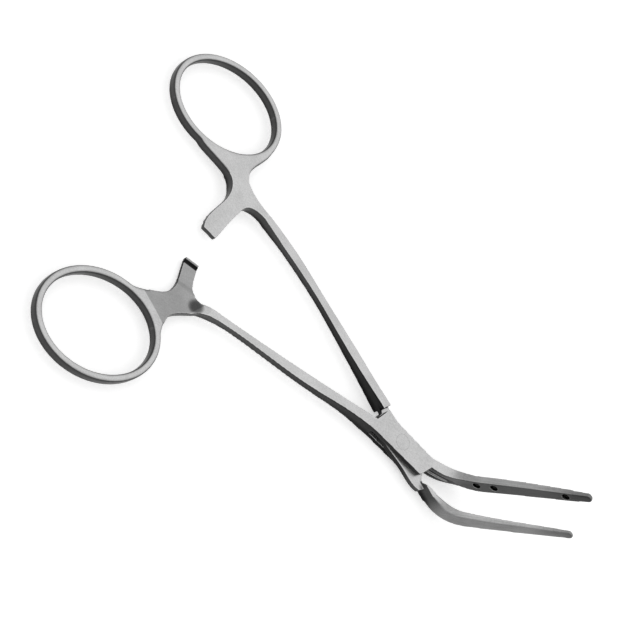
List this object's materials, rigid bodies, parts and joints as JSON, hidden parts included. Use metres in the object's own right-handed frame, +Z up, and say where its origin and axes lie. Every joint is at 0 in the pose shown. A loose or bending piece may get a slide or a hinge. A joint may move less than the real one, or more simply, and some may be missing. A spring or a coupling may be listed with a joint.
{
  "type": "tube occluding clamp",
  "caption": "Ring-handled surgical clamp with a box lock, a ratchet and upturned jaws, for pinching tubing shut",
  "frame": {"origin": "on the rivet's axis at the underside of the box lock", "axes": "+X along the box half's jaw toward the jaws, +Y toward the tongue half's ring, +Z up, the side the jaws bend to"},
  "size_m": [0.1495, 0.1098, 0.0373],
  "materials": {
    "satin_steel": "satin, glass-bead blasted stainless steel"
  },
  "bodies": {
    "box_side": {"box_half": "satin_steel", "rivet": "satin_steel"},
    "tongue_side": {"tongue_half": "satin_steel"}
  },
  "joints": [
    {"name": "lock_hinge", "type": "hinge", "parent": "box_side", "child": "tongue_side", "pos_m": [0, 0, 0.0023], "axis": [0, 0, 1], "range_deg": [-22, 11]}
  ]
}
